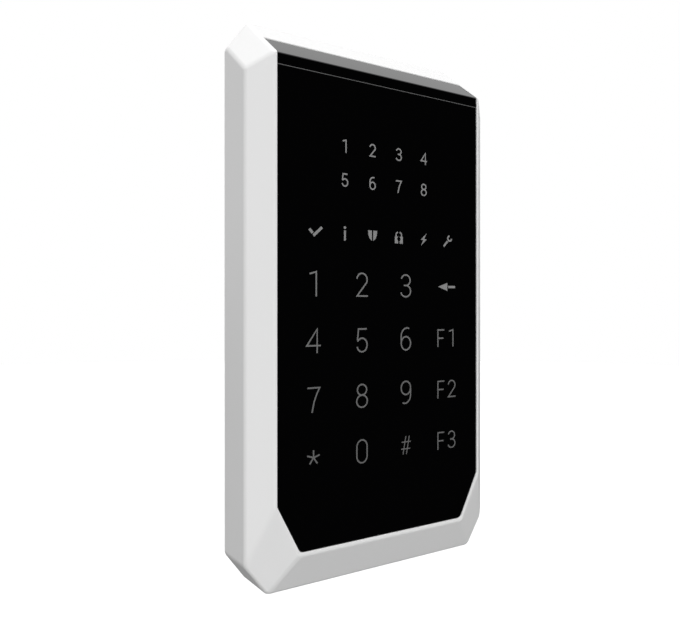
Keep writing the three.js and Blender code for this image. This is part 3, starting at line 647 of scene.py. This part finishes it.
def add_legends():
    """The legends. The 4, the star and the hash stand a little off their places in the grid."""
    keys = ["1", "2", "3", "4", "5", "6", "7", "8", "9", "star", "0", "hash"]
    for i, key in enumerate(keys):
        row = i // 3
        x, z = KEY_COLUMNS[i % 3], KEY_ROWS[row]
        foot = z - KEY_HEIGHT / 2
        left = x - 0.31 * KEY_HEIGHT
        if key == "star":
            shapes = star(x - 0.15, z + 0.05, 1.95, KEY_STROKE)
        elif key == "hash":
            shapes = written(key, left + 0.25, foot - 0.6, KEY_HEIGHT, 0.3)
        elif key == "4":
            shapes = written(key, left - 0.2, foot + 0.35, KEY_HEIGHT, KEY_STROKE)
        else:
            shapes = written(key, left, foot, KEY_HEIGHT, KEY_STROKE)
        # painted shade: each row's key ink is painted darker than the row above
        add_legend("legend_key_" + key, shapes, KEY_INKS_SHADED_DOWNWARDS[row])

    last = KEY_COLUMNS[3]
    add_legend("legend_arrow", arrow(last + 0.45, KEY_ROWS[0]), SIGN_INK)
    for i in (1, 2, 3):
        foot = KEY_ROWS[i] - FUNCTION_HEIGHT / 2
        shapes = written("F", last - 3.6, foot, FUNCTION_HEIGHT, FUNCTION_STROKE)
        shapes += written(str(i), last + 0.5, foot, FUNCTION_HEIGHT, FUNCTION_STROKE)
        # painted shade: the F legends take their row's key ink, painted darker downwards
        add_legend("legend_f" + str(i), shapes, KEY_INKS_SHADED_DOWNWARDS[i])
    for i in range(8):
        x, z = ZONE_COLUMNS[i % 4], ZONE_ROWS[i // 4]
        left, foot = x - 0.31 * ZONE_HEIGHT, z - ZONE_HEIGHT / 2
        shapes = written(str(i + 1), left, foot, ZONE_HEIGHT, ZONE_STROKE)
        add_legend("legend_zone_" + str(i + 1), shapes, SIGN_INK)
    for x, name in zip(ICON_COLUMNS, ["tick", "info", "shield", "padlock", "bolt", "wrench"]):
        placed = [[Vector((p[0] + x, p[1] + ICON_ROW)) for p in shape] for shape in icon_shapes(name)]
        add_legend("legend_" + name, placed, SIGN_INK)


# ---------------------------------------------------------------- the circuit board's detail

CHIPS = ["microcontroller", "touch_controller", "voltage_regulator", "bus_transceiver"]
OUTLINED = CHIPS + ["crystal", "supply_capacitor", "sounder", "programming_header", "terminal_block",
                    "tamper_switch"]
COMPONENTS = OUTLINED + ["board_screw_%d" % (i + 1) for i in range(4)]
LAMPS = sorted(n for n in frame["nodes"] if "_lamp_" in n)
PART_PITCH = 1.3
MOST_PARTS = 64
LEG_REACH = 0.92


def taken_room(margin):
    """The room round each component that stays free of small parts."""
    rooms = []
    for name in COMPONENTS:
        low, high = corners(name)
        rooms.append((low.x - margin, high.x + margin, low.z - margin, high.z + margin))
    return rooms


def is_free(x, z, half, rooms):
    for left, right, foot, head in rooms:
        if left <= x + half and x - half <= right and foot <= z + half and z - half <= head:
            return False
    return True


def on_board(x, z, margin):
    """Whether a place is on the board, whose two lower corners are cut."""
    low, high = corners("main_board")
    inside = low.x + margin < x < high.x - margin and low.z + margin < z < high.z - margin
    clear_of_cut = (z - low.z) + 2 * (high.x - abs(x)) > 12 + 3 * margin
    return inside and clear_of_cut


def small_part(mesh, x, z, upright, size):
    """A chip resistor or capacitor: a body between two tinned ends. Adds it to the mesh."""
    length, width, height, body_index = size
    ends = 0.22 * length
    pieces = [(-length / 2 + ends, length / 2 - ends, 0.96, body_index)]
    pieces += [(-length / 2, -length / 2 + ends, 1.0, 0), (length / 2 - ends, length / 2, 1.0, 0)]
    for start, end, share, index in pieces:
        box = bmesh.ops.create_cube(mesh, size=1)["verts"]
        for v in box:
            along = (start + end) / 2 + v.co.x * (end - start)
            across = v.co.z * width * share
            depth = BOARD_BACK + 0.02 + (v.co.y + 0.5) * height * share
            u, w = (across, along) if upright else (along, across)
            v.co = Vector((x + u, depth, z + w)) * MM
        for face in {f for v in box for f in v.link_faces}:
            face.material_index = index


def part_places():
    """Seeded places for the small parts, in loose rows near the chips that they serve."""
    draw = random.Random(7)
    rooms = taken_room(1.2)
    places = []
    for hub in CHIPS + ["terminal_block"]:
        low, high = corners(hub)
        for _ in range(60):
            x = round(draw.uniform(low.x - 9, high.x + 9) / PART_PITCH) * PART_PITCH
            z = round(draw.uniform(low.z - 9, high.z + 9) / PART_PITCH) * PART_PITCH
            if is_free(x, z, 1.2, rooms) and on_board(x, z, 2) and len(places) < MOST_PARTS:
                rooms.append((x - 1.1, x + 1.1, z - 1.1, z + 1.1))
                places.append((x, z, draw.random() < 0.5, draw.choice([1, 1, 2])))
    return places


def lamp_resistors():
    """A resistor behind each lamp, on the back of the board."""
    rooms = taken_room(0.8)
    places = []
    for name in LAMPS:
        low, high = corners(name)
        x, z = (low.x + high.x) / 2, (low.z + high.z) / 2 - 3.2
        if is_free(x, z, 1.2, rooms):
            places.append((x, z, False, 1))
    return places


def add_small_parts():
    mesh = bmesh.new()
    pads = []
    for x, z, upright, kind in part_places() + lamp_resistors():
        size = (2.0, 1.2, 0.5, 1) if kind == 1 else (1.8, 1.1, 0.8, 2)
        small_part(mesh, x, z, upright, size)
        for side in (-1, 1):
            u, w = (0, side * 0.95) if upright else (side * 0.95, 0)
            pads.append(rectangle(x + u - 0.65, x + u + 0.65, z + w - 0.65, z + w + 0.65))
    add_piece("board_small_parts", mesh, [TINNED, CHIP_EPOXY, CERAMIC], "front_unit", bevel=0.05)
    add_piece("board_pads", united(pads, INTO_BOARD, BOARD_BACK + 0.018), [TINNED], "front_unit")


def fan_out(x, z, way, draw):
    """A track that leaves a leg, turns by 45 degrees and ends at a via."""
    dx, dz = way
    run = draw.uniform(1.2, 3.0)
    path = [(x, z), (x + dx * run, z + dz * run)]
    turn = draw.choice([-1, 1])
    slant = draw.uniform(0.8, 4.0)
    sx, sz = (dx - turn * dz) * slant, (dz + turn * dx) * slant
    path.append((path[-1][0] + sx, path[-1][1] + sz))
    last = draw.uniform(1.0, 6.0)
    path.append((path[-1][0] + dx * last, path[-1][1] + dz * last))
    return path


def leg_places(name, count, pitch, all_round):
    """Where a chip's legs meet the board, and which way each leg points."""
    low, high = corners(name)
    x, z = (low.x + high.x) / 2, (low.z + high.z) / 2
    places = []
    for i in range(count):
        along = (i - (count - 1) / 2) * pitch
        places.append((low.x, z + along, (-1, 0)))
        places.append((high.x, z + along, (1, 0)))
        if all_round:
            places.append((x + along, low.z, (0, -1)))
            places.append((x + along, high.z, (0, 1)))
    return places


def add_tracks():
    draw = random.Random(11)
    starts = leg_places("microcontroller", 12, 0.8, True)
    starts += leg_places("touch_controller", 8, 0.8, True)
    starts += leg_places("bus_transceiver", 4, 1.27, False)
    starts += leg_places("voltage_regulator", 3, 2.3, False)
    tracks, rings, leads = [], [], []
    for x, z, way in starts:
        path = fan_out(x, z, way, draw)
        leads.append(rectangle(x - 0.35, x + 0.35, z - 0.28, z + 0.28))
        if all(on_board(px, pz, 1.5) for px, pz in path):
            tracks.extend(stroke(path, 0.22))
            tracks.append(disc(*path[-1], 0.42, 12))
            rings.append(path[-1])
    low, high = corners("terminal_block")
    for i in range(4):
        x = low.x + 2.9 + 5 * i
        half = (6 + 2.2 * i) / 2
        path = [(x, low.z), (x, low.z - half), (x + half, low.z - 2 * half), (x + half, low.z - 11)]
        tracks.extend(stroke(path, 0.9))
    low, high = corners("main_board")
    border = [(low.x + 1, low.z + 13), (low.x + 6.6, low.z + 1.2), (high.x - 6.6, low.z + 1.2),
              (high.x - 1, low.z + 13), (high.x - 1, high.z - 1), (low.x + 1, high.z - 1)]
    tracks.extend(stroke(border, 0.7, closed=True))
    for i in range(9):
        z = high.z - 5 - 5 * i
        if i % 3 != 1:
            tracks.extend(stroke([(low.x + 1, z), (low.x + 5 + i % 4, z), (low.x + 9, z - 4)], 0.3))
            rings.append((low.x + 9, z - 4))
    add_piece("board_tracks", united(tracks, INTO_BOARD, BOARD_BACK + 0.012), [COVERED_COPPER],
              "front_unit")
    add_piece("board_leads", united(leads, INTO_BOARD, BOARD_BACK + 0.03), [TINNED], "front_unit")
    vias = []
    for x, z in rings:
        vias.extend(stroke(arc(x, z, 0.26, 0.26, 0, 360, 12), 0.14, closed=True))
    add_piece("board_vias", united(vias, INTO_BOARD, BOARD_BACK + 0.02), [TINNED], "front_unit")


def add_board_print():
    shapes = []
    for name in OUTLINED:
        low, high = corners(name)
        shapes.extend(frame_of(low.x - 0.7, high.x + 0.7, low.z - 0.7, high.z + 0.7, 0.16))
        shapes.append(disc(low.x - 1.4, high.z + 0.2, 0.3, 10))
    add_piece("board_print", united(shapes, INTO_BOARD, BOARD_BACK + 0.016), [BOARD_PRINT],
              "front_unit")


def add_chip_marks():
    """A moulded dot beside the first leg of each chip."""
    for name in ("microcontroller", "touch_controller", "bus_transceiver"):
        low, high = corners(name)
        dot = united([disc(low.x + 2.1, high.z - 2.1, 0.45)], high.y - 0.05, high.y + 0.01)
        add_piece(name + "_dot", dot, [BLACK_PLASTIC], "front_unit")


def add_capacitor_mark():
    low, high = corners("supply_capacitor")
    x, z = (low.x + high.x) / 2, (low.z + high.z) / 2
    segment = [Vector(p) for p in arc(x, z, 2.7, 2.7, 115, 245, 14)]
    add_piece("capacitor_mark", united([segment], high.y - 0.05, high.y + 0.012), [BLACK_PLASTIC],
              "front_unit")


def dress_electronics():
    foot = BOARD_BACK + 0.05
    for name in CHIPS:
        low, high = corners(name)
        low.x += LEG_REACH
        high.x -= LEG_REACH
        if name.endswith("controller"):
            low.z += LEG_REACH
            high.z -= LEG_REACH

        def is_leg(centre):
            between_rows = low.x < centre.x < high.x
            return int(not (between_rows and low.z - 0.01 < centre.z < high.z + 0.01))

        refine(name, [CHIP_EPOXY, TINNED], is_leg, 0.05)
    refine("supply_capacitor", [ALUMINIUM, BLACK_PLASTIC], lambda c: int(c.y < foot + 0.62),
           0.08)
    refine("programming_header", [BLACK_PLASTIC, GOLD_PINS], lambda c: int(c.y > foot + 2.55),
           0.06)
    for name in LAMPS:
        base = corners(name)[1].y - 0.43
        refine(name, [LAMP_FRAME, LAMP_DOME], lambda c: int(c.y < base), 0.08)
    dress("main_board", SOLDER_MASK, 0)
    dress("crystal", ZINC_STEEL, 0.35, 3)
    dress("sounder", BLACK_PLASTIC, 0.15)
    dress("tamper_switch", BLACK_PLASTIC, 0.15)
    dress("terminal_block", GREEN_POLYAMIDE, 0.12)
    for i in (1, 2, 3, 4):
        dress("board_screw_%d" % i, ZINC_STEEL, 0.08)
        dress("terminal_screw_%d" % i, ZINC_STEEL, 0.08)
        dress("terminal_clamp_%d" % i, BARE_BRASS, 0.05)


# ---------------------------------------------------------------- tamper spring


def add_spring():
    """Round wire in five turns that close up at both ends."""
    low, high = corners("tamper_spring")
    x, z = (low.x + high.x) / 2, (low.z + high.z) / 2
    wire_radius = 0.22
    radius = (high.x - low.x) / 2 - wire_radius
    turns, steps, sides = 5.5, 220, 10
    start, end = low.y + wire_radius, high.y - wire_radius
    mesh = bmesh.new()
    rings = []
    for i in range(steps + 1):
        t = i / steps
        angle = 2 * math.pi * turns * t
        closing = t - 0.45 * math.sin(4 * math.pi * t) / (4 * math.pi)
        depth = start + (end - start) * min(1, max(0, closing))
        out = Vector((math.cos(angle), 0, math.sin(angle)))
        centre = Vector((x, depth, z)) + out * radius
        ring = []
        for k in range(sides):
            turn = 2 * math.pi * k / sides
            lift = Vector((0, wire_radius * math.sin(turn), 0))
            ring.append(mesh.verts.new((centre + out * wire_radius * math.cos(turn) + lift) * MM))
        rings.append(ring)
    for a, b in zip(rings, rings[1:]):
        for k in range(sides):
            mesh.faces.new([a[k], a[(k + 1) % sides], b[(k + 1) % sides], b[k]])
    mesh.faces.new(rings[0][::-1])
    mesh.faces.new(rings[-1])
    bmesh.ops.recalc_face_normals(mesh, faces=mesh.faces)
    spring = as_object("tamper_spring_fine", mesh)
    spring.data.materials.append(ZINC_STEEL)
    for face in spring.data.polygons:
        face.use_smooth = True
    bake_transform(spring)
    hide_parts("tamper_spring")


# ---------------------------------------------------------------- wall plate's detail


def add_plate_detail():
    """Raised rings round the slots and the tamper's hole, low ribs, and the marks of ejector pins."""
    rings = []
    for x in SLOT_COLUMNS:
        for z in SLOT_ROWS:
            path = arc(x, z + SLOT_HALF_RUN, 3.4, 3.4, 0, 180, 12)
            path += arc(x, z - SLOT_HALF_RUN, 3.4, 3.4, 180, 360, 12)
            rings.extend(stroke(path, 1.1, closed=True))
    rings.extend(stroke(arc(*TAMPER_HOLE, 5.0, 5.0, 0, 360, 32), 1.0, closed=True))
    add_piece("plate_bosses", united(rings, PLATE_FACE - 0.6, PLATE_FACE + 0.2), [PLATE_PLASTIC],
              "wall_plate", bevel=0.12)
    lines = [[(x, -50), (x, 42)] for x in (-RIB_EDGE, RIB_EDGE)]
    lines += [[(-RIB_EDGE, z), (RIB_EDGE, z)] for z in (-46, -36, 40)]
    for side in (-1, 1):
        lines.append([(side * 16, 40), (side * 16, 66)])
        lines.append([(side * 9, -60), (side * 9, -36)])
        lines.append([(side * RIB_EDGE, 10), (side * 17, 10)])
    ribs = []
    for line in lines:
        ribs.extend(stroke(line, RIB_WIDTH))
    add_piece("plate_ribs", united(ribs, PLATE_FACE - 0.8, PLATE_FACE + 0.2), [PLATE_PLASTIC],
              "wall_plate", bevel=0.12)
    marks = []
    for x, z in PIN_MARKS:
        marks.extend(stroke(arc(x, z, 1.6, 1.6, 0, 360, 24), 0.12, closed=True))
    add_piece("plate_pin_marks", united(marks, PLATE_FACE - 0.03, PLATE_FACE + 0.1), [PLATE_PLASTIC],
              "wall_plate")


def dress_plate():
    dress("wall_plate", PLATE_PLASTIC, 0.2)
    dress("retaining_nut", BARE_BRASS, 0.15)
    dress("retaining_screw", ZINC_STEEL, 0.1)
    dress("tamper_plunger", WHITE_PLASTIC, 0.2)


# ---------------------------------------------------------------- panel


def dress_panel():
    """The panel and its cap have a wider bevel at the seam and at the fold than elsewhere."""
    glass = cleaned("front_panel")
    top = corners("front_panel")[1].z - 0.05
    front = GLASS_FRONT + 0.05
    round_edges(glass, 0.15, 3, lambda m: m.y < front and m.z > top)
    round_edges(glass, 0.1, 2, lambda m: m.y < front and m.z < top - 0.5)
    add_piece("front_glass", glass, [GLOSS_BLACK], "front_unit", ["front_panel"])

    cap = cleaned("panel_top_cap")
    low = corners("panel_top_cap")[0]
    round_edges(cap, 0.28, 5, lambda m: m.y < front and abs(m.z - CAP_FOLD) < 0.1)
    round_edges(cap, 0.1, 2, lambda m: m.y < front and m.z < low.z + 0.1)
    add_piece("cap_glass", cap, [GLOSS_BLACK], "front_unit", ["panel_top_cap"])

    # The seam gap gets a grey strip: a painted highlight standing in for the light on the seam's
    # edges.
    half = corners("front_panel")[1].x
    seam = [rectangle(-half, half, top + 0.05, low.z)]
    highlight_strip = united(seam, GLASS_FRONT + 0.02, GLASS_FRONT + 1.5)
    add_piece("seam_painted_highlight", highlight_strip, [SEAM_PAINTED_HIGHLIGHT], "front_unit")

    dress("panel_adhesive", FOAM_TAPE, 0)
    dress("legend_diffuser", MILKY_FILM, 0)
    dress("light_mask", BLACK_PLASTIC, 0.1)
    dress("key_light_guide", CLEAR_ACRYLIC, 0.1)


# ---------------------------------------------------------------- studio

CAMERA = {"x": -110.28, "y": -167.23, "z": -2.62, "turn": -32.54, "lens": 35.38, "rise": -0.00524}
KEY_FROM = Vector((-0.03, -0.62, 0.77))
KEY_STRENGTH = 1.6
FLOOR_DROP = 0.6
FLOOR_RADIUS = 8
# The sky gets brighter with height, ends at the horizon and is dimmer on the right.
SKY_LEVEL = 0.86
SKY_RISE = 0.22
HORIZON_BLUR = 0.02
RIGHT_FADE = (-0.1, 0.7)
RIGHT_SHARE = 0.76
# The dark card: where it is, how soft its edge is and how much wider than high.
CARD = (0.47, -0.9, 0)
CARD_EDGE = (0.5, 0.72)
CARD_WIDTH = 1.45
# Each glow's place, tightness and strength: one from below in front, one from the left.
GLOWS = (((0.03, -0.75, -0.6), 8.5, 3.2), ((-0.6, -0.8, 0.1), 10, 0.49))


def add_camera():
    camera = bpy.data.objects.new("camera", bpy.data.cameras.new("camera"))
    bpy.context.scene.collection.objects.link(camera)
    camera.location = (CAMERA["x"] * MM, CAMERA["y"] * MM, CAMERA["z"] * MM)
    camera.rotation_euler = (math.radians(90), 0, math.radians(CAMERA["turn"]))
    camera.data.sensor_width = 36
    camera.data.lens = CAMERA["lens"]
    camera.data.shift_y = CAMERA["rise"]
    camera.data.clip_start = 0.005
    bpy.context.scene.camera = camera


def add_key_light():
    key = bpy.data.objects.new("key_light", bpy.data.lights.new("key_light", "SUN"))
    bpy.context.scene.collection.objects.link(key)
    key.data.energy = KEY_STRENGTH
    key.data.angle = math.radians(32)
    key.rotation_mode = "QUATERNION"
    key.rotation_quaternion = KEY_FROM.to_track_quat("Z", "Y")


def add_world():
    """A white studio: bright above and behind, black in front so that the glass stays black."""
    world = bpy.data.worlds.new("studio")
    bpy.context.scene.world = world
    world.use_nodes = True
    tree = world.node_tree
    tree.nodes.clear()

    def math_node(operation, *values):
        made = tree.nodes.new("ShaderNodeMath")
        made.operation = operation
        for socket, value in zip(made.inputs, values):
            if isinstance(value, (int, float)):
                socket.default_value = value
            else:
                tree.links.new(value, socket)
        return made.outputs[0]

    def towards(vector, direction):
        made = tree.nodes.new("ShaderNodeVectorMath")
        made.operation = "DOT_PRODUCT"
        tree.links.new(vector, made.inputs[0])
        made.inputs[1].default_value = Vector(direction).normalized()
        return made.outputs["Value"]

    def ramp(value, from_low, from_high, low, high):
        made = tree.nodes.new("ShaderNodeMapRange")
        made.interpolation_type = "SMOOTHSTEP"
        tree.links.new(value, made.inputs["Value"])
        numbers = (from_low, from_high, low, high)
        for name, number in zip(("From Min", "From Max", "To Min", "To Max"), numbers):
            made.inputs[name].default_value = number
        return made.outputs["Result"]

    direction = tree.nodes.new("ShaderNodeTexCoord").outputs["Generated"]
    height = towards(direction, (0, 0, 1))
    sky = math_node("MULTIPLY_ADD", height, SKY_RISE, SKY_LEVEL)
    sky = math_node("MULTIPLY", sky, ramp(height, -HORIZON_BLUR, HORIZON_BLUR, 0, 1))
    rightwards = towards(direction, (1, 0, 0))
    sky = math_node("MULTIPLY", sky, ramp(rightwards, *RIGHT_FADE, 1, RIGHT_SHARE))

    flat = tree.nodes.new("ShaderNodeVectorMath")
    flat.operation = "MULTIPLY"
    flat.inputs[1].default_value = (1, 1, CARD_WIDTH)
    tree.links.new(direction, flat.inputs[0])
    even = tree.nodes.new("ShaderNodeVectorMath")
    even.operation = "NORMALIZE"
    tree.links.new(flat.outputs[0], even.inputs[0])
    mask = ramp(towards(even.outputs[0], CARD), *CARD_EDGE, 1, 0)

    level = sky
    for place, tightness, strength in GLOWS:
        glow = math_node("POWER", math_node("MAXIMUM", towards(direction, place), 0.0), tightness)
        level = math_node("ADD", level, math_node("MULTIPLY", glow, strength))
    level = math_node("MULTIPLY", level, mask)

    lighting = tree.nodes.new("ShaderNodeBackground")
    tree.links.new(level, lighting.inputs["Strength"])
    backdrop = tree.nodes.new("ShaderNodeBackground")
    for shown in (lighting, backdrop):
        shown.inputs["Color"].default_value = (1, 1, 1, 1)
    chosen = tree.nodes.new("ShaderNodeMixShader")
    tree.links.new(tree.nodes.new("ShaderNodeLightPath").outputs["Is Camera Ray"], chosen.inputs[0])
    tree.links.new(lighting.outputs[0], chosen.inputs[1])
    tree.links.new(backdrop.outputs[0], chosen.inputs[2])
    tree.links.new(chosen.outputs[0], tree.nodes.new("ShaderNodeOutputWorld").inputs["Surface"])


def add_floor():
    mesh = bmesh.new()
    bmesh.ops.create_circle(mesh, cap_ends=True, segments=96, radius=FLOOR_RADIUS)
    floor = as_object("floor", mesh)
    floor.location = (0, 0, -FLOOR_DROP)
    pale = surface("pale_floor", (0.92, 0.92, 0.92), 0.7, tint=0.01, cloud=2, grain=40)
    floor.data.materials.append(pale)
    floor.visible_diffuse = False
    floor.visible_glossy = False
    floor.visible_shadow = False


add_camera()
add_key_light()
add_world()
add_floor()
bpy.context.scene.view_settings.view_transform = "Standard"

add_housing()
dress_panel()
add_legends()
dress_electronics()
add_small_parts()
add_tracks()
add_board_print()
add_chip_marks()
add_capacitor_mark()
add_spring()
dress_plate()
add_plate_detail()
